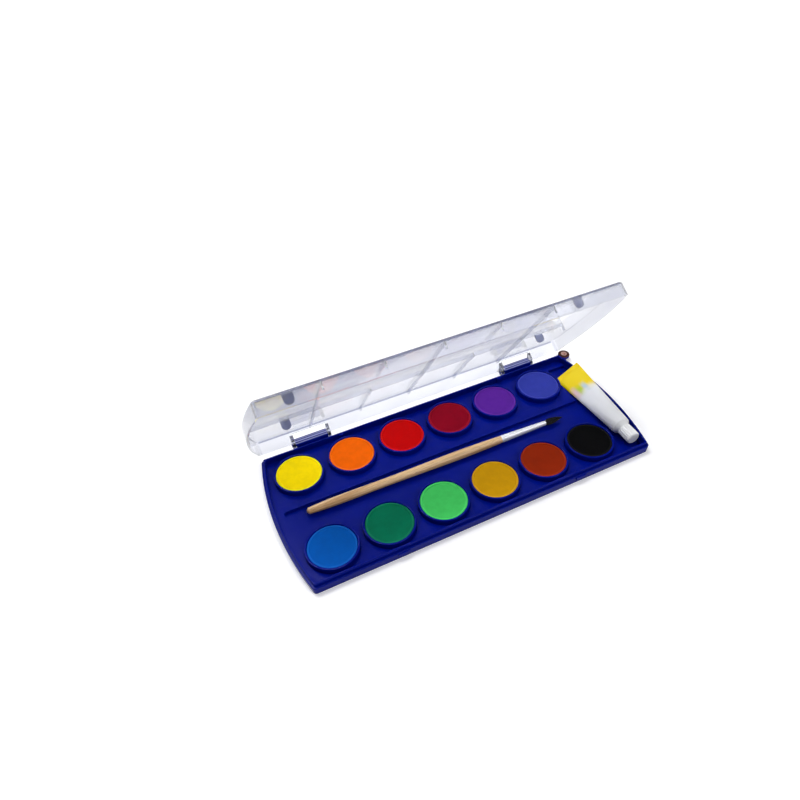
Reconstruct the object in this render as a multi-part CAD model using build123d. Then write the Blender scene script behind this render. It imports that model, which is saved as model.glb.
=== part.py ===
from build123d import *
from math import cos, pi, radians, sin, sqrt
import os

# A watercolour paint box in millimetres: an injection-moulded tray with two rows
# of round paint pans, a hinged clear lid that doubles as a mixing palette, a
# brush in the channel between the rows and a tube of white at the right end.
# Origin at the middle of the tray's underside, +X to the right, +Y to the hinge.

# Tray shell
tray_length = 233.6
tray_width = 99.8
end_radius = 199.0
corner_radius = 2.6
base_draft = 0.4
skirt_wall = 1.3
ledge_height = 5.3
ledge_step = 1.5
ledge_round = 0.5
lip_height = 7.7
lip_wall = 1.2
lip_round = 0.45
deck_height = 3.2
deck_thickness = 1.2
floor_thickness = 1.0

# Paint pans, two rows
pan_pitch = 34.4
row_spacing = 58.65
row_centre_x = -6.5
pans_per_row = 6
cup_radius = 15.4
cup_height = 5.8
cup_wall = 1.4
cup_floor = 0.9
cup_edge = 0.35
seat_clearance = 0.2
seat_wall = 1.0
paint_drop = 0.6
paint_rim_width = 0.9
paint_rim_edge = 0.3
paint_dish = 0.35

# Brush channel and tube well
channel_left = -109.5
channel_right = 97.0
channel_front = -8.4
channel_back = 6.8
channel_corner = 1.5
well_left = 95.6
well_front = -45.0
well_back = 41.0
well_drop = 2.2
well_margin = 3.4

# Small features of the tray
catch_offset = 58.5
catch_length = 7.0
catch_depth = 0.7
catch_thickness = 1.5
catch_low = 3.3
nub_width = 3.0
nub_depth = 1.0

# Hinge
hinge_offset = 76.5
hinge_gap_y = 3.6
hinge_height = 5.4
block_length = 21.0
block_radius = 3.2
block_ridge = 0.3
ridge_count = 5
ridge_pitch = 27.0
block_root_low = 2.9
block_root_gap = 0.3
pivot_radius = 1.2
pivot_length = 2.5
pivot_clearance = 0.05
ear_gap = 0.3
ear_thickness = 2.0
ear_radius = 2.6
ear_web = 6.0

# Lid, modelled shut and then opened
lid_angle = 56.0
lid_wall = 1.2
lid_panel = 1.2
lid_depth = 7.95
lid_seat_gap = 0.15
lid_round = 1.8
rib_thickness = 1.0
rib_height = 2.2
long_rib_y = 1.4
long_rib_right = 93.5
short_rib = 27.0
gusset_reach = 4.0
gusset_drop = 5.0
tab_width = 5.6
tab_height = 5.8
tab_thickness = 0.9
tab_places = (10.6, -46.0)
rib_hook = 3.2
notch_web = 1.6

# Corner lug with its eyelet
lug_x = 115.8
lug_y = 50.4
lug_radius = 4.2
lug_low = 2.7
lug_thickness = 1.6
eyelet_bore = 1.3
eyelet_wall = 0.5
eyelet_flange = 3.3
eyelet_flange_height = 0.5

# Brush
brush_butt_x = -97.3
brush_butt_y = 0.8
brush_gap = 0.3
brush_turn = -1.1
handle_length = 128.8
handle_butt_radius = 2.25
handle_waist_radius = 2.5
handle_belly_radius = 2.9
handle_neck_radius = 2.3
ferrule_length = 33.0
ferrule_overlap = 4.0
ferrule_wall = 0.25
ferrule_tip_radius = 1.5
ferrule_ring = 0.25
tuft_length = 13.8
tuft_root_radius = 1.2
tuft_belly_radius = 2.1
tuft_belly_at = 4.5
tuft_tip_radius = 0.35
tuft_shortening = 3.2
tuft_backing = 0.8
strand_count = 320
strand_sides = 3
strand_fill = 0.32

# Tube
tube_x = 104.2
tube_cap_end_y = -41.5
tube_radius = 6.0
tube_roll = 30.0
tube_gap = 0.15
tube_body_length = 56.5
tube_crimp_length = 4.6
tube_crimp_thickness = 1.2
tube_wall = 0.2
tube_shoulder = 2.6
neck_radius = 3.2
neck_length = 6.5
neck_bore = 1.6
cap_radius = 4.4
cap_length = 9.4
cap_clearance = 0.08
cap_top = 1.6
cap_gap = 0.3
cap_flutes = 18
cap_flute_radius = 0.35

# Worked out from the sizes above
half_width = tray_width / 2
deck_under = deck_height - deck_thickness
pan_floor = floor_thickness
cup_inner = cup_radius - cup_wall
cup_top = pan_floor + cup_height
seat_radius = cup_radius + seat_clearance
well_floor = deck_height - well_drop
hinge_y = half_width + hinge_gap_y
rim_height = ledge_height + lid_seat_gap
panel_height = rim_height + lid_depth
lid_top = panel_height + lid_panel
brush_z = floor_thickness + handle_belly_radius + brush_gap
tube_z = well_floor + tube_radius + tube_gap
crimp_half_width = pi * tube_radius / 2
hinge_axis = Axis((0, hinge_y, hinge_height), (-1, 0, 0))

back_colours = ["yellow", "orange", "red", "crimson", "violet", "ultramarine"]
front_colours = ["blue", "dark_green", "light_green", "ochre", "brown", "black"]


def pan_places():
    """Each paint colour with the centre of its pan."""
    rows = ((back_colours, row_spacing / 2), (front_colours, -row_spacing / 2))
    for colours, y in rows:
        for i, colour in enumerate(colours):
            x = row_centre_x + (i - (pans_per_row - 1) / 2) * pan_pitch
            yield colour, x, y


def column_gaps():
    """The X of each line midway between two columns of pans."""
    return [row_centre_x + (i - pans_per_row / 2 + 1) * pan_pitch for i in range(pans_per_row - 1)]


def plan(inset, z=0.0):
    """The tray's outline, drawn in by inset: straight sides and bowed ends."""
    half = half_width - inset
    radius = end_radius - inset
    middle = tray_length / 2 - inset
    corner = middle - radius + sqrt(radius**2 - half**2)
    outline = [
        Line((-corner, -half), (corner, -half)),
        ThreePointArc((corner, -half), (middle, 0), (corner, half)),
        Line((corner, half), (-corner, half)),
        ThreePointArc((-corner, half), (-middle, 0), (-corner, -half)),
    ]
    face = make_face(outline)
    face = fillet(face.vertices(), max(corner_radius - inset, 0.6))
    return Pos(0, 0, z) * face


def block(x0, x1, y0, y1, z0, z1):
    """A box between two corners."""
    middle = Pos((x0 + x1) / 2, (y0 + y1) / 2, (z0 + z1) / 2)
    return middle * Box(x1 - x0, y1 - y0, z1 - z0)


def upright(radius, x, y, z0, z1):
    """An upright cylinder from z0 to z1."""
    return Pos(x, y, (z0 + z1) / 2) * Cylinder(radius, z1 - z0)


def bar(radius, x0, x1, y, z):
    """A round bar along X."""
    return Pos((x0 + x1) / 2, y, z) * Rot(0, 90, 0) * Cylinder(radius, x1 - x0)


def edges_at(shape, z):
    """The edges of a shape that lie at height z."""
    return shape.edges().filter_by_position(Axis.Z, z - 0.01, z + 0.01)


def channel(extra, z0, z1):
    """The brush channel's space, grown by extra, with rounded corners."""
    space = block(
        channel_left - extra,
        channel_right + extra,
        channel_front - extra,
        channel_back + extra,
        z0,
        z1,
    )
    return fillet(space.edges().filter_by(Axis.Z), channel_corner + extra)


def tube_well(extra, z0, z1):
    """The recess under the tube, bounded by the bowed right end and grown by extra."""
    inside = extrude(plan(well_margin - extra, z0), z1 - z0)
    return inside & block(well_left - extra, tray_length, well_front - extra, well_back + extra, z0, z1)


def hinge_block(x):
    """A ridged barrel on the tray's back, with a pivot at each end."""
    half = block_length / 2
    barrel = bar(block_radius, x - half, x + half, hinge_y, hinge_height)
    root = block(
        x - half,
        x + half,
        half_width - skirt_wall,
        hinge_y,
        block_root_low,
        hinge_height - block_root_gap,
    )
    pivot = bar(pivot_radius, x - half - pivot_length, x + half + pivot_length, hinge_y, hinge_height)
    shape = barrel + root + pivot
    for i in range(ridge_count):
        angle = radians(90 + (i - (ridge_count - 1) / 2) * ridge_pitch)
        y = hinge_y + block_radius * cos(angle)
        z = hinge_height + block_radius * sin(angle)
        shape += bar(block_ridge, x - half, x + half, y, z)
    return shape


def tray():
    """Skirt, ledge, lip and deck, with seats for the pans, channel and well."""
    skirt = loft([plan(base_draft), plan(0, ledge_height)], ruled=True)
    skirt = fillet(edges_at(skirt, ledge_height), ledge_round)
    lip = extrude(plan(ledge_step, deck_height), lip_height - deck_height)
    shell = skirt + lip
    lip_inset = ledge_step + lip_wall
    shell -= extrude(plan(lip_inset, deck_height), lip_height)
    shell = fillet(edges_at(shell, lip_height), lip_round)
    under = extrude(plan(base_draft + skirt_wall, -1), deck_under + 1)
    for _, x, y in pan_places():
        under -= upright(seat_radius + seat_wall, x, y, 0, deck_under)
    under -= channel(seat_wall, 0, deck_under)
    under -= tube_well(seat_wall, well_floor - floor_thickness, deck_under)
    shell -= under
    for _, x, y in pan_places():
        shell -= upright(seat_radius, x, y, pan_floor, lip_height)
    shell -= channel(0, floor_thickness, lip_height)
    shell -= tube_well(0, well_floor, lip_height)
    for x in (-catch_offset, catch_offset):
        catch = block(
            x - catch_length / 2,
            x + catch_length / 2,
            -half_width - catch_depth,
            -half_width + skirt_wall,
            catch_low,
            catch_low + catch_thickness,
        )
        shell += catch
        inner = half_width - lip_inset
        shell += block(
            x - nub_width / 2,
            x + nub_width / 2,
            inner - nub_depth,
            inner + nub_depth / 2,
            deck_height,
            lip_height - lip_round,
        )
    for x in (-hinge_offset, hinge_offset):
        shell += hinge_block(x)
    lug = upright(lug_radius, lug_x, lug_y, lug_low, lug_low + lug_thickness)
    neck = Pos(lug_x - lug_radius / 2, lug_y - lug_radius / 2, lug_low + lug_thickness / 2)
    lug += neck * Rot(0, 0, 35) * Box(2 * lug_radius, 1.3 * lug_radius, lug_thickness)
    lug -= extrude(plan(base_draft + skirt_wall / 2), ledge_height)
    lug -= upright(eyelet_bore + eyelet_wall, lug_x, lug_y, 0, lip_height)
    return shell + lug


def corner_eyelet():
    """A rolled eyelet through the corner lug."""
    low = lug_low - eyelet_flange_height
    high = lug_low + lug_thickness + eyelet_flange_height
    ring = upright(eyelet_bore + eyelet_wall, lug_x, lug_y, low, high)
    ring += upright(eyelet_flange, lug_x, lug_y, low, lug_low)
    top = upright(eyelet_flange, lug_x, lug_y, high - eyelet_flange_height, high)
    ring += fillet(edges_at(top, high), eyelet_flange_height * 0.8)
    return ring - upright(eyelet_bore, lug_x, lug_y, 0, lip_height)


def turned(points, axis=Axis.Z, plane=Plane.XZ):
    """A solid of revolution from a closed outline."""
    return revolve(plane * make_face(Polyline(*points, close=True)), axis)


def cup(x, y):
    """A round pan that stands on the floor of its seat."""
    inner_edge = cup_inner + cup_edge
    profile = [
        (0, 0),
        (cup_radius, 0),
        (cup_radius, cup_height - cup_edge),
        (cup_radius - cup_edge, cup_height),
        (inner_edge, cup_height),
        (cup_inner, cup_height - cup_edge),
        (cup_inner, cup_floor),
        (0, cup_floor),
    ]
    return Pos(x, y, pan_floor) * turned(profile)


def paint(x, y):
    """A pressed cake of paint with a raised rim and a dished middle."""
    top = cup_height - paint_drop
    shoulder = cup_inner - paint_rim_edge - paint_rim_width
    profile = [
        (0, cup_floor),
        (cup_inner, cup_floor),
        (cup_inner, top - paint_rim_edge),
        (cup_inner - paint_rim_edge, top),
        (shoulder, top),
        (shoulder - paint_dish, top - paint_dish),
        (0, top - paint_dish),
    ]
    return Pos(x, y, pan_floor) * turned(profile)


def lid_ear(x0, x1):
    """One eye of the lid's hinge, joined to its back wall by a web."""
    eye = bar(ear_radius, x0, x1, hinge_y, hinge_height)
    wall = half_width - lid_wall / 2
    web_points = [
        (wall, rim_height + block_root_gap),
        (hinge_y, hinge_height),
        (hinge_y + ear_radius * 0.96, hinge_height + ear_radius * 0.25),
        (wall, rim_height + ear_web),
    ]
    web = extrude(Plane.YZ.offset(x0) * make_face(Polyline(*web_points, close=True)), x1 - x0)
    return eye + web - bar(pivot_radius + pivot_clearance, x0 - 1, x1 + 1, hinge_y, hinge_height)


def rib_line(x, y0, y1, crest):
    """A straight rib across the lid, from its crest up to the panel."""
    return block(x - rib_thickness / 2, x + rib_thickness / 2, y0, y1, crest, panel_height)


def gusset(x):
    """A sloping web that stiffens the corner of the lid's front wall."""
    front_wall = -half_width + lid_wall
    points = [
        (front_wall - lid_wall / 2, panel_height),
        (front_wall + gusset_reach, panel_height),
        (front_wall, panel_height - gusset_drop),
        (front_wall - lid_wall / 2, panel_height - gusset_drop),
    ]
    side = Plane.YZ.offset(x - rib_thickness / 2)
    return extrude(side * make_face(Polyline(*points, close=True)), rib_thickness)


def tab(x, y):
    """A round-ended tab that stands on the panel and steadies a pan."""
    side = Plane.XZ.offset(-y - tab_thickness / 2)
    radius = tab_width / 2
    face = Pos(x, panel_height - tab_height / 2) * Rectangle(tab_width, tab_height)
    face = fillet(face.vertices().sort_by(Axis.Y)[:2], radius * 0.9)
    return extrude(side * face, tab_thickness)


def hinge_notch(x):
    """The gap in the lid's back wall that clears a hinge barrel."""
    half = block_length / 2 + ear_gap
    return block(
        x - half,
        x + half,
        half_width - 2 * lid_wall,
        half_width + lid_wall,
        rim_height - lid_wall,
        panel_height - notch_web,
    )


def lid():
    """The clear lid: a shallow box with mixing wells, opened about its hinge."""
    shell = extrude(plan(0, rim_height), lid_top - rim_height)
    shell = fillet(edges_at(shell, lid_top), lid_round)
    hollow = extrude(plan(lid_wall, rim_height), lid_depth)
    shell -= hollow
    crest = panel_height - rib_height
    low = long_rib_y - rib_thickness / 2
    high = long_rib_y + rib_thickness / 2
    ribs = block(-tray_length / 2, long_rib_right, low, high, crest, panel_height)
    ribs += block(long_rib_right - rib_thickness, long_rib_right, low, high, crest - rib_hook, panel_height)
    for i, x in enumerate(column_gaps()):
        if i % 2:
            ribs += rib_line(x, long_rib_y, half_width, crest)
            ribs += rib_line(x, -half_width, -half_width + short_rib, crest)
        else:
            ribs += rib_line(x, -half_width, half_width, crest)
        ribs += gusset(x)
    for x in (column_gaps()[0] - pan_pitch / 2, column_gaps()[-1] + pan_pitch / 2):
        for y in tab_places:
            ribs += tab(x, y)
    shell += ribs & extrude(plan(lid_wall / 2, rim_height), lid_depth + lid_panel / 2)
    ear_start = block_length / 2 + ear_gap
    for x in (-hinge_offset, hinge_offset):
        shell -= hinge_notch(x)
        shell += lid_ear(x + ear_start, x + ear_start + ear_thickness)
        shell += lid_ear(x - ear_start - ear_thickness, x - ear_start)
    return shell.rotate(hinge_axis, lid_angle)


def brush_place():
    """The brush's axis along the channel, from its butt."""
    return Pos(brush_butt_x, brush_butt_y, brush_z) * Rot(0, 0, brush_turn)


def brush_handle():
    """A lacquered wooden handle with a tenon in the ferrule."""
    tenon = handle_neck_radius - ferrule_wall
    outline = Spline(
        (1.2, handle_butt_radius * 0.86),
        (6, handle_butt_radius),
        (handle_length * 0.35, handle_waist_radius),
        (handle_length * 0.8, handle_belly_radius),
        (handle_length, handle_neck_radius),
    )
    edges = [
        ThreePointArc((0, 0), (0.35, handle_butt_radius * 0.5), (1.2, handle_butt_radius * 0.86)),
        outline,
        Line((handle_length, handle_neck_radius), (handle_length, tenon)),
        Line((handle_length, tenon), (handle_length + ferrule_overlap, tenon)),
        Line((handle_length + ferrule_overlap, tenon), (handle_length + ferrule_overlap, 0)),
        Line((handle_length + ferrule_overlap, 0), (0, 0)),
    ]
    return brush_place() * revolve(Plane.XZ * make_face(edges), Axis.X)


def brush_ferrule():
    """A tapered metal ferrule with two rolled rings near the wood."""
    start = handle_length
    end = start + ferrule_length
    tip = ferrule_tip_radius
    outside = [
        (start, handle_neck_radius - ferrule_wall),
        (start, handle_neck_radius),
        (start + 5, handle_neck_radius),
        (end, tip),
        (end, tip - ferrule_wall),
        (start + 5 + ferrule_wall, handle_neck_radius - ferrule_wall),
    ]
    shell = turned(outside, Axis.X)
    for x in (start + 1.6, start + 3.6):
        ring = Pos(x, 0, 0) * Rot(0, 90, 0) * Torus(handle_neck_radius - ferrule_ring / 3, ferrule_ring)
        shell += ring - Pos(x, 0, 0) * Rot(0, 90, 0) * Cylinder(handle_neck_radius - ferrule_wall, 3)
    return brush_place() * shell


def tuft_scale(x):
    """The tuft's radius at a distance from the ferrule."""
    if x < tuft_belly_at:
        return tuft_root_radius + (tuft_belly_radius - tuft_root_radius) * x / tuft_belly_at
    share = (x - tuft_belly_at) / (tuft_length - tuft_belly_at)
    return tuft_belly_radius + (tuft_tip_radius - tuft_belly_radius) * share


def strand(share, angle):
    """One hair: a thin three-sided spindle that swells and closes with the tuft."""
    length = tuft_length - tuft_shortening * share**2
    wires = []
    for x in (-tuft_backing / 2, tuft_belly_at, length):
        radius = tuft_scale(max(x, 0))
        side = strand_fill * radius * sqrt(pi / strand_count)
        y = share * radius * cos(angle)
        z = share * radius * sin(angle)
        corners = []
        for k in range(strand_sides):
            turn = 2 * pi * k / strand_sides
            corners.append((x, y + side * cos(turn), z + side * sin(turn)))
        wires.append(Wire.make_polygon(corners, close=True))
    return Solid.make_loft(wires, ruled=True)


def brush_bristles():
    """The tuft: strands spread evenly over a slice of their backing."""
    start = handle_length + ferrule_length
    backing = Pos(-tuft_backing / 2, 0, 0) * Rot(0, 90, 0) * Cylinder(ferrule_tip_radius - ferrule_wall, tuft_backing)
    golden = pi * (3 - sqrt(5))
    strands = [strand(sqrt((i + 0.5) / strand_count), i * golden) for i in range(strand_count)]
    return brush_place() * Pos(start, 0, 0) * (backing + strands)


def tube_place():
    """The tube's axis, from the shoulder towards the cap, rolled about itself."""
    shoulder_y = tube_cap_end_y + cap_length + cap_gap + tube_shoulder
    return Pos(tube_x, shoulder_y, tube_z) * Rot(90, 0, 0) * Rot(0, 0, tube_roll)


def tube_flask(inset):
    """The tube's body from its round shoulder to the flat crimp, drawn in by inset."""
    round_end = Ellipse(tube_radius - inset, tube_radius - inset * 1.01)
    flat_half = tube_crimp_thickness / 2 - inset
    flat_end = Pos(0, 0, -tube_body_length) * Ellipse(crimp_half_width - inset, flat_half)
    return loft([flat_end, round_end], ruled=True)


def tube_body():
    """The painted metal tube: flask, folded crimp, shoulder and neck."""
    flask = tube_flask(0)
    crimp = Pos(0, 0, -tube_body_length - tube_crimp_length / 2 + 0.6)
    strip = crimp * Box(2 * crimp_half_width, tube_crimp_thickness, tube_crimp_length)
    strip = fillet(strip.edges().filter_by(Axis.Z), tube_crimp_thickness * 0.4)
    shoulder = Pos(0, 0, tube_shoulder / 2) * Cone(tube_radius, neck_radius, tube_shoulder)
    neck = Pos(0, 0, tube_shoulder + neck_length / 2) * Cylinder(neck_radius, neck_length)
    bore_length = tube_shoulder + neck_length
    bore = Pos(0, 0, bore_length / 2) * Cylinder(neck_bore, bore_length + 1)
    shape = flask + strip + shoulder + neck
    return tube_place() * (shape - tube_flask(tube_wall) - bore)


def tube_paint():
    """The white paint that fills the tube up to its mouth."""
    bore_length = tube_shoulder + neck_length
    bore = Pos(0, 0, bore_length / 2) * Cylinder(neck_bore, bore_length)
    return tube_place() * (tube_flask(tube_wall) + bore)


def tube_cap():
    """A fluted cap over the neck."""
    start = tube_shoulder + cap_gap
    outer = Pos(0, 0, start + cap_length / 2) * Cylinder(cap_radius, cap_length)
    outer = chamfer(outer.edges().sort_by(Axis.Z)[-1], 0.5)
    for i in range(cap_flutes):
        turn = Rot(0, 0, 360 * i / cap_flutes)
        outer -= turn * Pos(cap_radius, 0, start + cap_length / 2) * Cylinder(cap_flute_radius, cap_length)
    deep = neck_length + cap_clearance
    hole = Pos(0, 0, start + deep / 2 - 0.5) * Cylinder(neck_radius + cap_clearance, deep + 1)
    return tube_place() * (outer - hole)


def write(name, shape):
    """Write one piece as its own file."""
    export_step(shape, f"parts/{name}.step")


os.makedirs("parts", exist_ok=True)
write("tray", tray())
write("corner_eyelet", corner_eyelet())
write("lid", lid())
for colour, x, y in pan_places():
    write(f"cup_{colour}", cup(x, y))
    write(f"paint_{colour}", paint(x, y))
write("brush_handle", brush_handle())
write("brush_ferrule", brush_ferrule())
write("brush_bristles", brush_bristles())
write("tube_body", tube_body())
write("tube_paint", tube_paint())
write("tube_cap", tube_cap())
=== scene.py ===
"""Dresses a watercolour paint box: tray, pans, clear lid, brush and tube, on a pale studio floor."""

from math import cos, pi, radians, sin, sqrt

import bmesh
import bpy
from mathutils import Matrix, Vector, noise


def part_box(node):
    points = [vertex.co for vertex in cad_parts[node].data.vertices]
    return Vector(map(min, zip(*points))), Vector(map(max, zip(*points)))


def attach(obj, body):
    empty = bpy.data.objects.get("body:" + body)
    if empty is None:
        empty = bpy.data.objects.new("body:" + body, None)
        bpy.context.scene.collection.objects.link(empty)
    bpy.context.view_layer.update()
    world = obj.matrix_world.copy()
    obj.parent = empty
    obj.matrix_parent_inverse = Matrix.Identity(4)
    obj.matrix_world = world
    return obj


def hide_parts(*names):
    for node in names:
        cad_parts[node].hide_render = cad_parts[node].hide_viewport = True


bl_info = {
    "name": "Watercolour Paint Box",
    "version": (1, 0, 0),
    "blender": (4, 5, 0),
    "location": "View3D > Sidebar > Paint Box",
    "description": "Builds the finishes and soft parts of a watercolour paint box",
    "category": "Object",
}

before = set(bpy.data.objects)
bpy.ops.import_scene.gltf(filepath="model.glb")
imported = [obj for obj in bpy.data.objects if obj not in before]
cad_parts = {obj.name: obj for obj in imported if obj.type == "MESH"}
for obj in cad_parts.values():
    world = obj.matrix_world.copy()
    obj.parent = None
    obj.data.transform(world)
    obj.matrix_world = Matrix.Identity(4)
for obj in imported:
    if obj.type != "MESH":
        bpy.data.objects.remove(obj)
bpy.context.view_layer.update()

MM = 0.001
MERGE = 0.002 * MM
SMOOTH_ANGLE = radians(32)
SHARP_ANGLE = radians(40)


def srgb(red, green, blue):
    """A colour read as 0 to 255 screen values, in the linear values that shaders use."""
    shares = [value / 255 for value in (red, green, blue)]
    return tuple(s / 12.92 if s <= 0.04045 else ((s + 0.055) / 1.055) ** 2.4 for s in shares)


def colour(label, words, red, green, blue):
    """A colour setting with its default."""
    return bpy.props.FloatVectorProperty(
        name=label, description=words, default=srgb(red, green, blue), subtype="COLOR", min=0, max=1
    )


def length(label, words, millimetres):
    """A length setting with its default, kept in metres."""
    return bpy.props.FloatProperty(
        name=label, description=words, default=millimetres * MM, unit="LENGTH", min=0, precision=5
    )


def turn(label, words, degrees):
    """An angle setting with its default, kept in radians."""
    return bpy.props.FloatProperty(name=label, description=words, default=radians(degrees), subtype="ANGLE")


def number(label, words, value, **limits):
    """A plain number setting with its default and its limits."""
    return bpy.props.FloatProperty(name=label, description=words, default=value, **limits)


def count(label, words, value, least, most):
    """A whole number setting with its default and its limits."""
    return bpy.props.IntProperty(name=label, description=words, default=value, min=least, max=most)


def scaled(tone, factor):
    """A colour made lighter or darker by a factor."""
    return tuple(part * factor for part in tone)


PAINTS = {
    "yellow": (246, 216, 2),
    "orange": (238, 98, 2),
    "red": (190, 3, 4),
    "crimson": (132, 3, 28),
    "violet": (86, 34, 144),
    "ultramarine": (50, 60, 158),
    "blue": (2, 84, 172),
    "dark_green": (4, 108, 76),
    "light_green": (66, 192, 92),
    "ochre": (196, 144, 8),
    "brown": (142, 38, 8),
    "black": (9, 9, 11),
}


class PaintColours(bpy.types.PropertyGroup):
    """The twelve cakes of paint."""

    __annotations__ = {
        paint: colour(paint.replace("_", " ").capitalize(), "Colour of this cake of paint", *values)
        for paint, values in PAINTS.items()
    }


class PanSettings(bpy.types.PropertyGroup):
    """Sizes of the pans and their cakes."""

    edge: length("Edge", "Rounding of a pan's rim", 0.35)
    rim_width: length("Rim width", "Width of the raised rim of a cake", 0.75)
    rim_height: length("Rim height", "Height of the rim above the cake's middle", 0.35)
    unevenness: length("Unevenness", "Depth of the dips in a pressed cake", 0.07)
    steps: count("Steps", "Sides of a round pan", 96, 24, 256)


class PlasticSettings(bpy.types.PropertyGroup):
    """Finish of the tray, the pans and the lid."""

    blue: colour("Blue", "Colour of the tray and the pans", 0, 17, 122)
    clear: colour("Clear", "Tint of the lid's flat walls", 226, 228, 236)
    # The edge colour is painted shade along the lid's thin edges and ribs
    edge: colour("Edge", "Tint where light runs along the lid's edges and ribs", 108, 114, 146)
    gloss: number("Roughness", "Roughness of the moulded surface", 0.16, min=0, max=1)


class BrushSettings(bpy.types.PropertyGroup):
    """The brush's wood, metal and hair."""

    wood: colour("Wood", "Colour of the handle", 238, 200, 150)
    grain: colour("Grain", "Colour of the darker grain", 186, 140, 92)
    metal: colour("Ferrule", "Colour of the ferrule", 246, 247, 251)
    hair: colour("Hair", "Colour of the tuft", 16, 15, 17)
    strands: count("Strands", "Hairs in the tuft", 460, 50, 900)
    belly: length("Belly", "Radius of the tuft at its fullest", 2.15)


class TubeSettings(bpy.types.PropertyGroup):
    """The paint tube's colours and dents."""

    white: colour("White", "Colour of the enamel", 240, 241, 243)
    band: colour("Band", "Colour of the band beside the crimp", 250, 220, 20)
    band_length: length("Band length", "Length of the coloured band from the crimp", 24)
    dent: length("Dent", "Depth of the dents in the soft metal", 0.35)


class StageSettings(bpy.types.PropertyGroup):
    """The camera, lamps and floor."""

    azimuth: turn("Azimuth", "Turn of the camera about the box", -25.25)
    elevation: turn("Elevation", "Height angle of the camera", 43.44)
    roll: turn("Roll", "Turn of the camera about its view", -1.58)
    distance: length("Distance", "From the camera to the point it looks at", 445.42)
    focal_share: number("Focal share", "Focal length as a share of the sensor", 645.3 / 800, min=0.1)
    shift: number("Shift", "Sideways shift of the picture as a share of its width", -0.0375)
    floor: colour("Floor", "Colour of the floor", 250, 250, 251)
    ambient: number("Ambient", "Strength of the light all round", 0.22, min=0)
    key_power: number("Key", "Power of the main lamp in watts", 36, min=0)
    fill_power: number("Fill", "Power of the fill lamp in watts", 23, min=0)


LOOK_AT = Vector((9.41, 56.03, 0)) * MM
SENSOR = 36.0

SETTINGS = {
    "paints": PaintColours,
    "pans": PanSettings,
    "plastic": PlasticSettings,
    "brush": BrushSettings,
    "tube": TubeSettings,
    "stage": StageSettings,
}


def settings(group):
    """One of the groups of settings on the scene."""
    return getattr(bpy.context.scene, "paintbox_" + group)


class Value:
    """A shader socket that takes part in Python expressions."""

    def __init__(self, shader, socket):
        self.shader = shader
        self.socket = socket

    def math(self, operation, other=None, swapped=False, clamp=False):
        """A Math node on this value and, where there is one, the other."""
        pair = (other, self) if swapped else (self, other)
        sockets = {i: v for i, v in enumerate(pair) if v is not None}
        return self.shader.node("Math", {"operation": operation, "use_clamp": clamp}, sockets)

    def __add__(self, other):
        return self.math("ADD", other)

    def __sub__(self, other):
        return self.math("SUBTRACT", other)

    def __rsub__(self, other):
        return self.math("SUBTRACT", other, swapped=True)

    def __mul__(self, other):
        return self.math("MULTIPLY", other)

    def __pow__(self, other):
        return self.math("POWER", other)

    __radd__ = __add__
    __rmul__ = __mul__

    def clamped(self):
        """This value kept between 0 and 1."""
        return self.math("ADD", 0.0, clamp=True)

    def ramp(self, low, high):
        """0 below low, 1 above high and a smooth rise between."""
        sockets = {"Value": self, "From Min": low, "From Max": high}
        return self.shader.node("MapRange", {"interpolation_type": "SMOOTHSTEP"}, sockets)


class Shader:
    """A material written as Python expressions."""

    def __init__(self, name):
        self.material = bpy.data.materials.new(name)
        self.material.use_nodes = True
        self.tree = self.material.node_tree
        self.tree.nodes.clear()

    def node(self, kind, options=None, sockets=None, output=0):
        """Adds a node, sets its options and then its sockets, and gives one of its outputs."""
        made = self.tree.nodes.new("ShaderNode" + kind)
        for key, value in (options or {}).items():
            setattr(made, key, value)
        for key, value in (sockets or {}).items():
            if isinstance(value, Value):
                self.tree.links.new(value.socket, made.inputs[key])
            elif isinstance(value, tuple) and len(value) == 3 and made.inputs[key].type == "RGBA":
                made.inputs[key].default_value = (*value, 1.0)
            else:
                made.inputs[key].default_value = value
        return Value(self, made.outputs[output])

    def axis(self, index):
        """One of the object's own coordinates, in metres."""
        where = self.node("TexCoord", output=3)
        return self.node("SeparateXYZ", {}, {0: where}, output=index)

    def noise(self, scale, detail=3.0, rough=0.5, stretch=(1, 1, 1)):
        """Cloudy noise on the object's own coordinates, closer together along a stretched axis."""
        where = self.node("TexCoord", output=3)
        vector = self.node("Mapping", {}, {"Vector": where, "Scale": stretch})
        sockets = {"Vector": vector, "Scale": scale, "Detail": detail, "Roughness": rough}
        return self.node("TexNoise", {}, sockets)

    def mix(self, factor, first, second):
        """Two colours mixed by a factor."""
        options = {"data_type": "RGBA"}
        return self.node("Mix", options, {0: factor, 6: first, 7: second}, output=2)

    def bump(self, height, distance, strength=1.0):
        """A normal from a height."""
        return self.node("Bump", {}, {"Height": height, "Distance": distance, "Strength": strength})

    def attribute(self, name):
        """A number painted on the mesh."""
        return self.node("Attribute", {"attribute_name": name}, output=2)

    def surface(self, **sockets):
        """A Principled surface from sockets named with underscores, as the material's output."""
        named = {key.replace("_", " "): value for key, value in sockets.items()}
        self.finish(self.node("BsdfPrincipled", {}, named))
        return self.material

    def finish(self, shader):
        """Sends a shader to the material's output."""
        output = self.tree.nodes.new("ShaderNodeOutputMaterial")
        self.tree.links.new(shader.socket, output.inputs["Surface"])
        return self.material


def material_once(name, build):
    """A material that several pieces share, built the first time it is asked for."""
    finish = name + "_finish"
    return bpy.data.materials.get(finish) or build(finish)


HINGE_BACK, HINGE_HEIGHT = 53.5 * MM, 5.4 * MM
# Where the painted highlight on the hinge ridges' crests lies, and its tone
CREST_START = (2.95 * MM, 3.12 * MM)
CREST_END = (3.3 * MM, 3.4 * MM)
CREST_FRONT = (-2.4 * MM, -2.0 * MM)
CREST_HIGHLIGHT = srgb(170, 176, 224)


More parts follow.
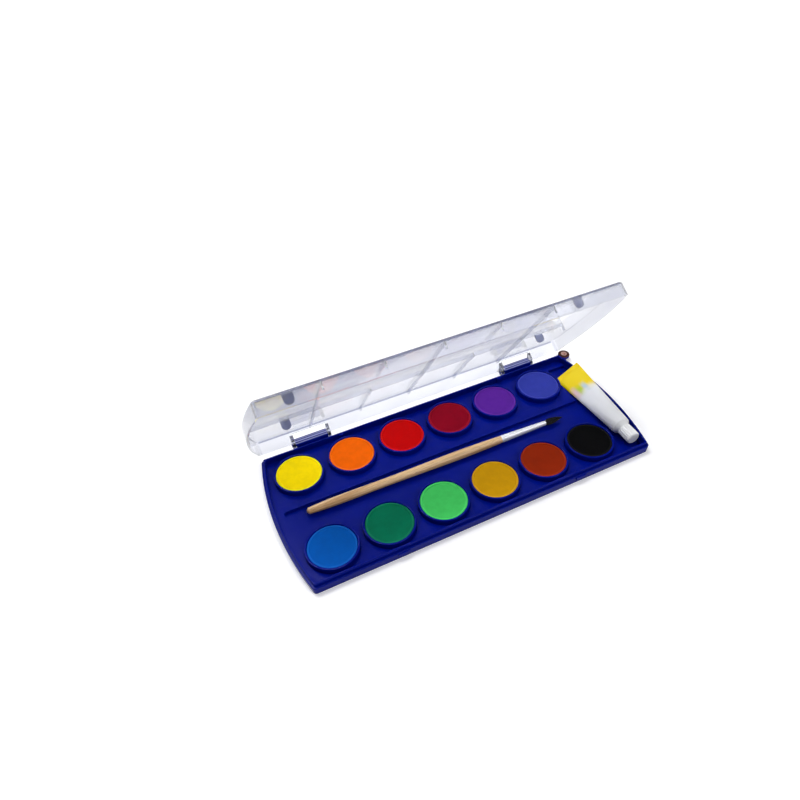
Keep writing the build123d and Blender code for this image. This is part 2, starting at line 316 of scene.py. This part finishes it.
def blue_plastic(name):
    """Glossy moulded polystyrene with faint flow marks, fine handling scratches and a painted highlight
    along the hinge ridges' crests.
    """
    shader = Shader(name)
    plastic = settings("plastic")
    clouds = shader.noise(35, 2)
    scratches = shader.noise(900, 2, 0.6, stretch=(0.12, 1, 1)).ramp(0.62, 0.74)
    tint = shader.mix(clouds.ramp(0.3, 0.7), tuple(plastic.blue), scaled(plastic.blue, 1.1))
    # A painted highlight on the crests of the hinge barrels' ridges, where they would catch the light
    behind = shader.axis(1) - HINGE_BACK
    above = shader.axis(2) - HINGE_HEIGHT
    from_hinge = (behind**2 + above**2) ** 0.5
    crest_highlight = from_hinge.ramp(*CREST_START) * (1 - from_hinge.ramp(*CREST_END))
    crest_highlight = crest_highlight * behind.ramp(*CREST_FRONT)
    tint = shader.mix(crest_highlight * 0.85, tint, CREST_HIGHLIGHT)
    peel = shader.noise(220, 2)
    rough = plastic.gloss + clouds * 0.08 + scratches * 0.1
    normal = shader.bump(peel + scratches * 0.2, 0.04 * MM, 0.5)
    return shader.surface(
        Base_Color=tint,
        Roughness=rough,
        Normal=normal,
        Specular_IOR_Level=0.05,
        Coat_Weight=0.04,
        Coat_Roughness=0.05,
    )


def clear_plastic(name):
    """Clear polystyrene: see-through, glossy, with fine wear and painted shade along its thin edges and
    ribs.
    """
    shader = Shader(name)
    plastic = settings("plastic")
    wear = shader.noise(600, 3, 0.6).ramp(0.55, 0.8)
    normal = shader.bump(shader.noise(60, 2), 0.06 * MM, 0.5)
    # Painted shade: the lid's thin edges and ribs take the darker edge colour and let less light through
    edge = shader.attribute(EDGE_SHADE)
    return shader.surface(
        Base_Color=shader.mix(edge, tuple(plastic.clear), tuple(plastic.edge)),
        Roughness=0.03 + wear * 0.06,
        Normal=normal,
        IOR=1.45,
        Transmission_Weight=1.0,
        Alpha=0.78 + edge * 0.18,
    )


def paint_cake(name, tone):
    """A pressed cake of opaque paint: matt, slightly mottled, with a painted highlight on its rim."""
    shader = Shader(name)
    mottle = shader.noise(260, 4, 0.55)
    grain = shader.noise(2600, 2)
    darker = scaled(tone, 0.95)
    paler = tuple(min(1.0, part) for part in scaled(tone, 1.04))
    tint = shader.mix(mottle.ramp(0.32, 0.68), darker, paler)
    # A painted highlight: the rim is paler, as if it were catching the light
    rim_highlight_tone = tuple(min(1.0, part + 0.008) for part in scaled(tone, 1.3))
    tint = shader.mix(shader.attribute(RIM_HIGHLIGHT) * 0.8, tint, rim_highlight_tone)
    rough = 0.52 + mottle * 0.16
    normal = shader.bump(mottle * 0.6 + grain * 0.25, 0.09 * MM, 0.3)
    return shader.surface(Base_Color=tint, Roughness=rough, Normal=normal, Specular_IOR_Level=0.03)


def beech(name):
    """Pale beech with long grain and short dark flecks under clear lacquer."""
    shader = Shader(name)
    brush = settings("brush")
    grain = shader.noise(1, 5, 0.6, stretch=(18, 620, 620))
    flecks = shader.noise(1, 2, 0.5, stretch=(260, 2600, 2600)).ramp(0.63, 0.72)
    tint = shader.mix(grain.ramp(0.35, 0.7), tuple(brush.wood), tuple(brush.grain))
    tint = shader.mix(flecks * 0.45, tint, scaled(brush.grain, 0.45))
    return shader.surface(
        Base_Color=tint,
        Roughness=0.34 + grain * 0.12,
        Normal=shader.bump(grain + flecks * 0.4, 0.03 * MM, 0.6),
        Specular_IOR_Level=0.3,
        Coat_Weight=0.2,
        Coat_Roughness=0.12,
    )


def rolled_metal(name):
    """Bright drawn metal with fine lines round the ferrule."""
    shader = Shader(name)
    lines = shader.noise(1, 2, stretch=(9000, 60, 60))
    dull = shader.noise(300, 3)
    bright = tuple(settings("brush").metal)
    tint = shader.mix(dull, bright, scaled(bright, 0.86))
    normal = shader.bump(lines, 0.004 * MM, 0.25)
    return shader.surface(Base_Color=tint, Metallic=0.35, Roughness=0.36 + dull * 0.12, Normal=normal)


def black_hair(name):
    """Sized black hair with a soft painted sheen in lighter streaks along its length."""
    shader = Shader(name)
    sheen_streaks = shader.noise(1, 3, stretch=(60, 5200, 5200))
    tone = tuple(settings("brush").hair)
    # The lighter streaks are a painted sheen along the hairs
    tint = shader.mix(sheen_streaks, tone, scaled(tone, 2.0))
    return shader.surface(Base_Color=tint, Roughness=0.36 + sheen_streaks * 0.2, Specular_IOR_Level=0.12)


DISH_TONES = (srgb(240, 208, 196), srgb(206, 156, 140))
RING_TONE = srgb(74, 34, 22)
# Painted shade down the eyelet's hole
HOLE_SHADE = srgb(8, 5, 5)


def copper(name):
    """A rolled copper eyelet: a pale dish in a dark ring, with painted shade down its hole."""
    shader = Shader(name)
    tarnish = shader.noise(900, 4, 0.6)
    low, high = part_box("corner_eyelet")
    centre = (low + high) / 2
    flange = (high.x - low.x) / 2
    from_axis = ((shader.axis(0) - centre.x) ** 2 + (shader.axis(1) - centre.y) ** 2) ** 0.5
    tint = shader.mix(tarnish.ramp(0.35, 0.7), *DISH_TONES)
    tint = shader.mix(from_axis.ramp(flange * 0.58, flange * 0.7), tint, RING_TONE)
    # Painted shade: near-black down the hole
    tint = shader.mix(1 - from_axis.ramp(flange * 0.26, flange * 0.36), tint, HOLE_SHADE)
    normal = shader.bump(tarnish, 0.03 * MM, 0.5)
    return shader.surface(Base_Color=tint, Metallic=0.4, Roughness=0.3 + tarnish * 0.2, Normal=normal)


SPOTS = (
    (2.5 * MM, srgb(232, 196, 226)),
    (8.5 * MM, srgb(178, 214, 246)),
    (5.2 * MM, srgb(170, 208, 60)),
)


def enamel(name):
    """White enamel with a soft-edged band of colour beside the crimp and three pale spots on its edge."""
    shader = Shader(name)
    tube = settings("tube")
    low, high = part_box("tube_body")
    wander = shader.noise(150, 2) * (7 * MM)
    along = high.y - shader.axis(1) + wander
    edge = tube.band_length
    fade = 7 * MM
    band = 1 - along.ramp(edge - 2 * MM, edge + 6 * MM)
    near_edge = along.ramp(edge - fade, edge) * (1 - along.ramp(edge, edge + fade))
    tint = shader.mix(band, tuple(tube.white), tuple(tube.band))
    across = shader.axis(0) - low.x
    for place, tone in SPOTS:
        spot = 1 - (across - place).math("ABSOLUTE").ramp(0.4 * MM, 2.6 * MM)
        tint = shader.mix(spot * near_edge * 0.8, tint, tone)
    wear = shader.noise(420, 4, 0.6)
    return shader.surface(
        Base_Color=tint,
        Roughness=0.3 + wear * 0.15,
        Normal=shader.bump(wear, 0.05 * MM, 0.4),
        Specular_IOR_Level=0.15,
        Coat_Weight=0.08,
    )


def white_plastic(name):
    """A matt white moulded cap with a faint grain."""
    shader = Shader(name)
    grain = shader.noise(800, 3)
    tint = shader.mix(grain, srgb(250, 250, 251), srgb(243, 244, 246))
    normal = shader.bump(grain, 0.03 * MM, 0.4)
    return shader.surface(Base_Color=tint, Roughness=0.38 + grain * 0.1, Normal=normal)


def white_paint(name):
    """The soft paint in the tube."""
    shader = Shader(name)
    return shader.surface(Base_Color=srgb(244, 244, 240), Roughness=0.4 + shader.noise(500) * 0.1)


# Name of the painted highlight on the cakes' rims
RIM_HIGHLIGHT = "rim_tone"
# Name of the painted shade along the lid's edges
EDGE_SHADE = "edge_tone"
LINE_WIDTH = 1.4 * MM
SHORT_FACE = 9 * MM
# The share of the painted edge shade that the lid's strips get
STRIP_SHADE = 0.22
PLANE_STEP = 0.4 * MM
BROAD_AREA = 1000 * MM * MM
END_WALL_SHARE = 0.93


def add_piece(name, bm, material, body, replaced=()):
    """Turns a bmesh into a smooth-shaded piece that rides on a body."""
    for face in bm.faces:
        face.smooth = True
    for edge in bm.edges:
        edge.smooth = edge.calc_face_angle(0) < SMOOTH_ANGLE
    mesh = bpy.data.meshes.new(name)
    bm.to_mesh(mesh)
    bm.free()
    mesh.materials.append(material)
    piece = bpy.data.objects.new(name, mesh)
    bpy.context.scene.collection.objects.link(piece)
    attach(piece, body)
    for node in replaced:
        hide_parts(node)
    return piece


def refined(node, name, material, body):
    """A welded, smooth-shaded copy of a solid, which stands for it."""
    bm = bmesh.new()
    bm.from_mesh(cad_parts[node].data)
    bmesh.ops.remove_doubles(bm, verts=bm.verts, dist=MERGE)
    return add_piece(name, bm, material, body, (node,))


def turned(profile, centre, steps):
    """A solid of revolution about Z from radius and height pairs that start and end on the axis."""
    bm = bmesh.new()
    points = [bm.verts.new((centre.x + radius, centre.y, z)) for radius, z in profile]
    edges = [bm.edges.new(pair) for pair in zip(points, points[1:])]
    outline = points + edges
    bmesh.ops.spin(bm, geom=outline, cent=centre, axis=(0, 0, 1), angle=2 * pi, steps=steps, use_merge=True)
    bmesh.ops.remove_doubles(bm, verts=bm.verts, dist=MERGE)
    bmesh.ops.recalc_face_normals(bm, faces=bm.faces)
    return bm


def rounded(bm, offset, segments=3):
    """Rounds every sharp edge."""
    bmesh.ops.bevel(
        bm,
        geom=[edge for edge in bm.edges if edge.calc_face_angle(0) > SHARP_ANGLE],
        offset=offset,
        segments=segments,
        profile=0.5,
        affect="EDGES",
        material=-1,
        clamp_overlap=True,
    )


def rod(sides, cuts):
    """A rod of unit radius and unit length along Z, cut across into short lengths."""
    bm = bmesh.new()
    bmesh.ops.create_cone(bm, cap_ends=True, segments=sides, radius1=1, radius2=1, depth=1)
    cut_lengthwise(bm, cuts)
    return bm


def cut_lengthwise(bm, cuts):
    """Cuts the long edges of a solid of unit length that stands along Z."""
    upright = [edge for edge in bm.edges if abs(edge.verts[0].co.z - edge.verts[1].co.z) > 0.5]
    bmesh.ops.subdivide_edges(bm, edges=upright, cuts=cuts, use_grid_fill=True)


def cup_piece(paint):
    """A round pan with a softly rounded rim and a shallow step inside."""
    pans = settings("pans")
    cup_low, cup_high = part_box("cup_" + paint)
    cake_low, cake_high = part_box("paint_" + paint)
    centre = (cup_low + cup_high) / 2
    outer = cup_high.x - centre.x
    inner = cake_high.x - centre.x
    profile = [
        (0, cup_low.z),
        (outer - pans.edge, cup_low.z),
        (outer, cup_low.z + pans.edge),
        (outer, cup_high.z),
        (inner + pans.edge, cup_high.z),
        (inner, cup_high.z - pans.edge),
        (inner, cake_low.z),
        (0, cake_low.z),
    ]
    bm = turned(profile, centre, pans.steps)
    rounded(bm, pans.edge)
    material = material_once("cup_blue", blue_plastic)
    add_piece("pan_" + paint + "_cup", bm, material, "pan_" + paint, ("cup_" + paint,))


CAKE_RINGS = 9
CAKE_FLAT = 0.97
DIP_SCALE = 170


def cake_piece(paint):
    """A pressed cake: a thin raised rim round a faintly uneven middle."""
    pans = settings("pans")
    low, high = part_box("paint_" + paint)
    centre = (low + high) / 2
    radius = high.x - centre.x
    middle = high.z - pans.rim_height
    shoulder = radius - pans.edge - pans.rim_width
    profile = [(shoulder * i / CAKE_RINGS * CAKE_FLAT, middle) for i in range(CAKE_RINGS + 1)]
    profile += [
        (shoulder, high.z),
        (radius - pans.edge, high.z),
        (radius, high.z - pans.edge),
        (radius, low.z),
        (0, low.z),
    ]
    bm = turned(profile, centre, pans.steps)
    for vert in bm.verts:
        away = (vert.co - centre).xy.length
        if away < shoulder * 0.99 and vert.co.z > centre.z:
            dip = noise.noise(vert.co * DIP_SCALE) * 0.5 + 0.5
            vert.co.z -= pans.unevenness * dip * (1 - away / radius) ** 0.5
    rounded(bm, pans.edge * 0.4, 2)
    # Marks the rim for the painted highlight
    rim = bm.verts.layers.float.new(RIM_HIGHLIGHT)
    for vert in bm.verts:
        vert[rim] = 1.0 if (vert.co - centre).xy.length > shoulder * 0.995 else 0.0
    tone = tuple(getattr(settings("paints"), paint))
    material = material_once("paint_" + paint, lambda name: paint_cake(name, tone))
    add_piece("pan_" + paint + "_cake", bm, material, "pan_" + paint, ("paint_" + paint,))


def hair_template(sides, segments):
    """One hair along X from 0 to 1, one unit across, pointed at its end."""
    bm = rod(sides, segments - 1)
    laid_down = Matrix.Rotation(pi / 2, 4, "Y") @ Matrix.Translation((0, 0, 0.5))
    bmesh.ops.transform(bm, matrix=laid_down, verts=bm.verts)
    mesh = bpy.data.meshes.new("hair_template")
    bm.to_mesh(mesh)
    bm.free()
    return mesh


ROOT_RADIUS = 1.2 * MM
POINT_RADIUS = 0.12 * MM
FULLEST_AT = 0.3
HAIR_RADIUS = 0.085 * MM
HAIR_POINT = 0.008 * MM
DROOP = 0.35 * MM
CORE_LENGTH = 0.92
CORE_GIRTH = 0.88


def tuft_radius(share, belly):
    """The tuft's radius from its root, 0, through its belly to its point, 1."""
    if share < FULLEST_AT:
        return ROOT_RADIUS + (belly - ROOT_RADIUS) * sin(share / FULLEST_AT * pi / 2)
    fall = (share - FULLEST_AT) / (1 - FULLEST_AT)
    return belly * (1 - fall**1.5) + POINT_RADIUS * fall


def tuft_piece():
    """Hairs that leave the ferrule, swell to a belly and close to a slanted point."""
    brush = settings("brush")
    low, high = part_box("brush_bristles")
    handle_low, handle_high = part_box("brush_handle")
    middle = (low + high) / 2
    handle_middle = (handle_low + handle_high) / 2
    along = (middle - handle_middle).xy.to_3d().normalized()
    across = Vector((-along.y, along.x, 0))
    reach = high.x - low.x
    root = Vector((low.x, middle.y - along.y * reach / 2, handle_middle.z))
    template = hair_template(4, 9)
    bm = bmesh.new()
    golden = pi * (3 - sqrt(5))
    for i in range(brush.strands):
        ring = sqrt((i + 0.5) / brush.strands)
        angle = i * golden
        start = len(bm.verts)
        bm.from_mesh(template)
        bm.verts.ensure_lookup_table()
        slant = 1 + 0.05 * cos(angle)
        hair_length = reach * min(1.0, (1 - 0.2 * ring**2) * slant)
        wave = noise.noise(Vector((i * 0.37, 0, 0))) * 0.12
        for vert in bm.verts[start:]:
            share = vert.co.x * hair_length / reach
            radius = ring * tuft_radius(share, brush.belly)
            taper = HAIR_RADIUS * (1 - vert.co.x**3) + HAIR_POINT
            bearing = angle + wave * share * 4
            side = radius * cos(bearing) + vert.co.y * taper
            rise = radius * sin(bearing) + vert.co.z * taper - DROOP * share**2
            vert.co = root + along * (share * reach) + across * side + Vector((0, 0, rise))
    bpy.data.meshes.remove(template)
    core = tuft_core(root, along, across, reach, brush.belly)
    bm.from_mesh(core)
    bpy.data.meshes.remove(core)
    bmesh.ops.recalc_face_normals(bm, faces=bm.faces)
    material = material_once("hair_black", black_hair)
    add_piece("brush_tuft", bm, material, "brush", ("brush_bristles",))


def tuft_core(root, along, across, reach, belly):
    """A dark core that fills the middle of the tuft, so that no light comes through it."""
    bm = rod(20, 16)
    for vert in bm.verts:
        share = (vert.co.z + 0.5) * CORE_LENGTH
        radius = tuft_radius(share, belly) * CORE_GIRTH
        side = vert.co.x * radius
        rise = vert.co.y * radius - DROOP * share**2
        vert.co = root + along * (share * reach) + across * side + Vector((0, 0, rise))
    mesh = bpy.data.meshes.new("tuft_core")
    bm.to_mesh(mesh)
    bm.free()
    return mesh


TUBE_RADIUS = 6.0 * MM
TUBE_ROLL = radians(30)
TUBE_BODY = 56.5 * MM
CRIMP_LENGTH = 4.0 * MM
CRIMP_HALF = 0.6 * MM
CRIMP_RIDGES = 8
CRIMP_PRESS = 0.82
CRIMP_FOLD = 0.86
CRIMP_OVERLAP = 0.3 * MM
UNDENTED_FROM = 0.87
TUBE_SIDES = 64
NECK = 9.1 * MM
NECK_TOP = NECK - 0.2 * MM
NECK_RADIUS = 3.15 * MM
SHOULDER_HEIGHT = 2.7 * MM
STEP = 0.15 * MM


def tube_frame():
    """Places tube coordinates, with Z towards the cap and X across the crimp, in the box."""
    low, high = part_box("tube_body")
    shoulder = Vector(((low.x + high.x) / 2, low.y + NECK, (low.z + high.z) / 2))
    laid_down = Matrix.Rotation(pi / 2, 4, "X") @ Matrix.Rotation(TUBE_ROLL, 4, "Z")
    return Matrix.Translation(shoulder) @ laid_down


def dent_at(x, y, flat):
    """How far the soft metal is pressed in, from nothing at the shoulder to nothing near the crimp."""
    if flat >= UNDENTED_FROM:
        return 0.0
    fold = noise.noise(Vector((x * 0.9, y * 0.9, flat * 5.5 + 3)))
    crease = noise.noise(Vector((x * 2.2, y * 2.2, flat * 13)))
    depth = max(0.0, fold * 1.3 + crease * 0.4)
    return settings("tube").dent * depth * sin(pi * min(1, flat * 1.15)) ** 0.6


def tube_skin():
    """The soft flask: round at the shoulder, flat at the crimp, dented between."""
    bm = rod(TUBE_SIDES, 44)
    half = pi * TUBE_RADIUS / 2
    for vert in bm.verts:
        flat = 0.5 - vert.co.z
        wide = TUBE_RADIUS + (half - TUBE_RADIUS) * flat
        thick = TUBE_RADIUS + (CRIMP_HALF - TUBE_RADIUS) * flat
        inward = dent_at(vert.co.x, vert.co.y, flat)
        vert.co = Vector((vert.co.x * (wide - inward / 2), vert.co.y * (thick - inward), -flat * TUBE_BODY))
    return bm


def joined(bm, part):
    """Moves one bmesh's geometry into another."""
    mesh = bpy.data.meshes.new("part")
    part.to_mesh(mesh)
    part.free()
    bm.from_mesh(mesh)
    bpy.data.meshes.remove(mesh)


def crimp_strip():
    """The folded crimp: a flat strip with pressed ridges and a fold line."""
    bm = bmesh.new()
    bmesh.ops.create_cube(bm, size=1)
    rows = CRIMP_RIDGES * 2
    cut_lengthwise(bm, rows - 1)
    for vert in bm.verts:
        share = vert.co.z + 0.5
        row = round(share * rows)
        pressed = CRIMP_PRESS if row % 2 else 1.0
        folded = 1.0 if row < CRIMP_RIDGES else CRIMP_FOLD
        thick = vert.co.y * 2 * CRIMP_HALF * pressed * folded
        down = CRIMP_OVERLAP - TUBE_BODY - share * CRIMP_LENGTH
        vert.co = Vector((vert.co.x * pi * TUBE_RADIUS, thick, down))
    return bm


def shoulder_and_neck():
    """The stiff shoulder with its step, and the neck that the cap turns on."""
    profile = [
        (0, -1.0 * MM),
        (TUBE_RADIUS * 0.99, -0.6 * MM),
        (TUBE_RADIUS * 0.995, 0),
        (TUBE_RADIUS * 0.86, 0.7 * MM),
        (NECK_RADIUS + STEP, SHOULDER_HEIGHT - STEP),
        (NECK_RADIUS, SHOULDER_HEIGHT),
        (NECK_RADIUS, NECK_TOP),
        (0, NECK_TOP),
    ]
    return turned(profile, Vector((0, 0, 0)), TUBE_SIDES)


def tube_piece():
    """The whole enamelled tube but for its cap."""
    bm = tube_skin()
    joined(bm, crimp_strip())
    joined(bm, shoulder_and_neck())
    bmesh.ops.recalc_face_normals(bm, faces=bm.faces)
    bmesh.ops.transform(bm, matrix=tube_frame(), verts=bm.verts)
    material = material_once("tube_enamel", enamel)
    add_piece("tube_skin", bm, material, "tube", ("tube_body",))


def face_key(face):
    """The plane that a face lies in, rounded so that neighbours share it."""
    normal = face.normal
    depth = face.calc_center_median().dot(normal)
    return (*(round(part, 1) for part in normal), round(depth / PLANE_STEP))


def diagonal(points):
    """The diagonal of the box round some points."""
    spans = (max(point[i] for point in points) - min(point[i] for point in points) for i in range(3))
    return max(sum(span * span for span in spans) ** 0.5, MERGE)


def lid_piece():
    """The clear lid: its broad walls stay clear, its thin edges carry painted shade and its strips a faint
    share of it.
    """
    bm = bmesh.new()
    bm.from_mesh(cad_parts["lid"].data)
    bmesh.ops.remove_doubles(bm, verts=bm.verts, dist=MERGE)
    bm.normal_update()
    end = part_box("lid")[1].x * END_WALL_SHARE
    areas, corners = {}, {}
    for face in bm.faces:
        key = face_key(face)
        areas[key] = areas.get(key, 0) + face.calc_area()
        corners.setdefault(key, []).extend(vert.co for vert in face.verts)
    lengths = {key: diagonal(points) for key, points in corners.items()}
    # Painted shade: thin edges and ribs get all of it, strips a faint share, broad walls and end walls none
    tone = bm.faces.layers.float.new(EDGE_SHADE)
    for face in bm.faces:
        key = face_key(face)
        end_wall = abs(face.normal.x) > 0.9 and abs(face.calc_center_median().x) > end
        thin = areas[key] / lengths[key] < LINE_WIDTH
        if end_wall or areas[key] > BROAD_AREA:
            face[tone] = 0.0
        elif thin and lengths[key] >= SHORT_FACE:
            face[tone] = 1.0
        else:
            face[tone] = STRIP_SHADE
    material = material_once("lid_clear", clear_plastic)
    add_piece("lid_shell", bm, material, "lid", ("lid",))


FLANGE_SPREAD = 1.25
FLANGE_THICKNESS = 0.55 * MM


def spread_flange(eyelet):
    """Widens the rolled flange of the eyelet until it covers the lug under it."""
    low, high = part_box("corner_eyelet")
    centre = (low + high) / 2
    for vert in eyelet.data.vertices:
        if vert.co.z > high.z - FLANGE_THICKNESS:
            vert.co.x = centre.x + (vert.co.x - centre.x) * FLANGE_SPREAD
            vert.co.y = centre.y + (vert.co.y - centre.y) * FLANGE_SPREAD


class PAINTBOX_OT_tray(bpy.types.Operator):
    """Finishes the tray and its corner eyelet"""

    bl_idname = "paintbox.tray"
    bl_label = "Tray"

    def execute(self, context):
        refined("tray", "tray_shell", material_once("tray_blue", blue_plastic), "box")
        metal = material_once("eyelet_copper", copper)
        eyelet = refined("corner_eyelet", "corner_ring", metal, "box")
        spread_flange(eyelet)
        return {"FINISHED"}


class PAINTBOX_OT_pans(bpy.types.Operator):
    """Builds the twelve pans and their cakes of paint"""

    bl_idname = "paintbox.pans"
    bl_label = "Pans"

    def execute(self, context):
        for paint in PAINTS:
            cup_piece(paint)
            cake_piece(paint)
        return {"FINISHED"}


class PAINTBOX_OT_lid(bpy.types.Operator):
    """Finishes the clear lid with its mixing wells"""

    bl_idname = "paintbox.lid"
    bl_label = "Lid"

    def execute(self, context):
        lid_piece()
        return {"FINISHED"}


class PAINTBOX_OT_brush(bpy.types.Operator):
    """Builds the brush: handle, ferrule and tuft"""

    bl_idname = "paintbox.brush"
    bl_label = "Brush"

    def execute(self, context):
        refined("brush_handle", "brush_wood", material_once("handle_wood", beech), "brush")
        metal = material_once("ferrule_metal", rolled_metal)
        refined("brush_ferrule", "brush_metal", metal, "brush")
        tuft_piece()
        return {"FINISHED"}


class PAINTBOX_OT_tube(bpy.types.Operator):
    """Builds the paint tube and its cap"""

    bl_idname = "paintbox.tube"
    bl_label = "Tube"

    def execute(self, context):
        tube_piece()
        refined("tube_cap", "tube_top", material_once("cap_white", white_plastic), "cap")
        filling = material_once("paint_white", white_paint)
        refined("tube_paint", "tube_filling", filling, "tube")
        return {"FINISHED"}


FLOOR_HALF = 4
FLOOR_LIFT = (0.17, 0.17, 0.17)
WHITE = (1.0, 1.0, 1.0)
FAR_FLOOR = (0.33, 0.8)
LAMP_AIM = (0, 0.02, 0)
KEY_PLACE, KEY_SIZE = (-0.4, 0.95, 2.1), 1.0
FILL_PLACE, FILL_SIZE = (0.9, -1.2, 2.0), 1.4


def floor_material(name):
    """A pale floor that shows as white, keeps the object's shadow and glows where the lamps end."""
    shader = Shader(name)
    seen = shader.node("LightPath", output=0)
    mirrored = shader.node("LightPath", output=3)
    diffuse = shader.node("BsdfDiffuse", {}, {"Color": tuple(settings("stage").floor)})
    away = (shader.axis(0) ** 2 + shader.axis(1) ** 2) ** 0.5
    lift = shader.mix(away.ramp(*FAR_FLOOR), FLOOR_LIFT, WHITE)
    glow = shader.node("Emission", {}, {"Color": lift, "Strength": (seen + mirrored).clamped()})
    return shader.finish(shader.node("AddShader", {}, {0: diffuse, 1: glow}))


def area_lamp(name, place, size, power):
    """A soft square lamp that faces the box."""
    data = bpy.data.lights.new(name, "AREA")
    data.shape = "SQUARE"
    data.size = size
    data.energy = power
    lamp = bpy.data.objects.new(name, data)
    bpy.context.scene.collection.objects.link(lamp)
    lamp.location = place
    lamp.rotation_euler = (Vector(LAMP_AIM) - Vector(place)).to_track_quat("-Z", "Y").to_euler()


def make_world():
    """A plain world: white where it is seen or shows through the lid, and a soft grey light elsewhere."""
    world = bpy.data.worlds.new("studio")
    bpy.context.scene.world = world
    world.use_nodes = True
    nodes, links = world.node_tree.nodes, world.node_tree.links
    background = nodes["Background"]
    path = nodes.new("ShaderNodeLightPath")
    first = nodes.new("ShaderNodeMath")
    first.operation = "MAXIMUM"
    level = nodes.new("ShaderNodeMapRange")
    level.inputs["To Min"].default_value = settings("stage").ambient
    level.inputs["To Max"].default_value = 1.0
    links.new(path.outputs["Is Camera Ray"], first.inputs[0])
    links.new(path.outputs["Is Transmission Ray"], first.inputs[1])
    links.new(first.outputs[0], level.inputs["Value"])
    links.new(level.outputs[0], background.inputs["Strength"])
    background.inputs["Color"].default_value = (*WHITE, 1.0)


def make_camera():
    """The camera at the photograph's viewing angle."""
    stage = settings("stage")
    back = Vector(
        (
            sin(stage.azimuth) * cos(stage.elevation),
            -cos(stage.azimuth) * cos(stage.elevation),
            sin(stage.elevation),
        )
    )
    right = Vector((0, 0, 1)).cross(back).normalized()
    up = back.cross(right)
    rolled_right = cos(stage.roll) * right + sin(stage.roll) * up
    rolled_up = cos(stage.roll) * up - sin(stage.roll) * right
    data = bpy.data.cameras.new("camera")
    data.sensor_width = SENSOR
    data.lens = stage.focal_share * SENSOR
    data.shift_x = stage.shift
    data.clip_start = 0.01
    camera = bpy.data.objects.new("camera", data)
    bpy.context.scene.collection.objects.link(camera)
    axes = Matrix((rolled_right, rolled_up, back)).transposed().to_4x4()
    camera.matrix_world = Matrix.Translation(LOOK_AT + back * stage.distance) @ axes
    bpy.context.scene.camera = camera


class PAINTBOX_OT_stage(bpy.types.Operator):
    """Sets the floor, lamps, world and camera"""

    bl_idname = "paintbox.stage"
    bl_label = "Stage"

    def execute(self, context):
        bm = bmesh.new()
        bmesh.ops.create_grid(bm, x_segments=2, y_segments=2, size=FLOOR_HALF)
        mesh = bpy.data.meshes.new("floor")
        bm.to_mesh(mesh)
        bm.free()
        mesh.materials.append(material_once("floor_pale", floor_material))
        floor = bpy.data.objects.new("floor", mesh)
        context.scene.collection.objects.link(floor)
        stage = settings("stage")
        area_lamp("key", KEY_PLACE, KEY_SIZE, stage.key_power)
        area_lamp("fill", FILL_PLACE, FILL_SIZE, stage.fill_power)
        make_world()
        make_camera()
        context.scene.view_settings.view_transform = "Standard"
        return {"FINISHED"}


class PAINTBOX_PT_panel(bpy.types.Panel):
    """Lists the pieces of the paint box"""

    bl_label = "Paint Box"
    bl_idname = "PAINTBOX_PT_panel"
    bl_space_type = "VIEW_3D"
    bl_region_type = "UI"
    bl_category = "Paint Box"

    def draw(self, context):
        for operator in OPERATORS:
            self.layout.operator(operator.bl_idname)
        for group in SETTINGS:
            box = self.layout.box()
            box.label(text=group.capitalize())
            holder = settings(group)
            for name in holder.bl_rna.properties.keys():
                if name not in ("rna_type", "name"):
                    box.prop(holder, name)


OPERATORS = (
    PAINTBOX_OT_stage,
    PAINTBOX_OT_tray,
    PAINTBOX_OT_pans,
    PAINTBOX_OT_lid,
    PAINTBOX_OT_brush,
    PAINTBOX_OT_tube,
)


def register():
    """Registers the classes and puts the settings on the scene."""
    for name, group in SETTINGS.items():
        bpy.utils.register_class(group)
        setattr(bpy.types.Scene, "paintbox_" + name, bpy.props.PointerProperty(type=group))
    for operator in OPERATORS:
        bpy.utils.register_class(operator)
    bpy.utils.register_class(PAINTBOX_PT_panel)


def unregister():
    """Takes the settings and the classes away again."""
    bpy.utils.unregister_class(PAINTBOX_PT_panel)
    for operator in reversed(OPERATORS):
        bpy.utils.unregister_class(operator)
    for name, group in SETTINGS.items():
        delattr(bpy.types.Scene, "paintbox_" + name)
        bpy.utils.unregister_class(group)


def main():
    """Builds every piece."""
    register()
    bpy.ops.paintbox.stage()
    bpy.ops.paintbox.tray()
    bpy.ops.paintbox.pans()
    bpy.ops.paintbox.lid()
    bpy.ops.paintbox.brush()
    bpy.ops.paintbox.tube()


if __name__ == "__main__":
    main()
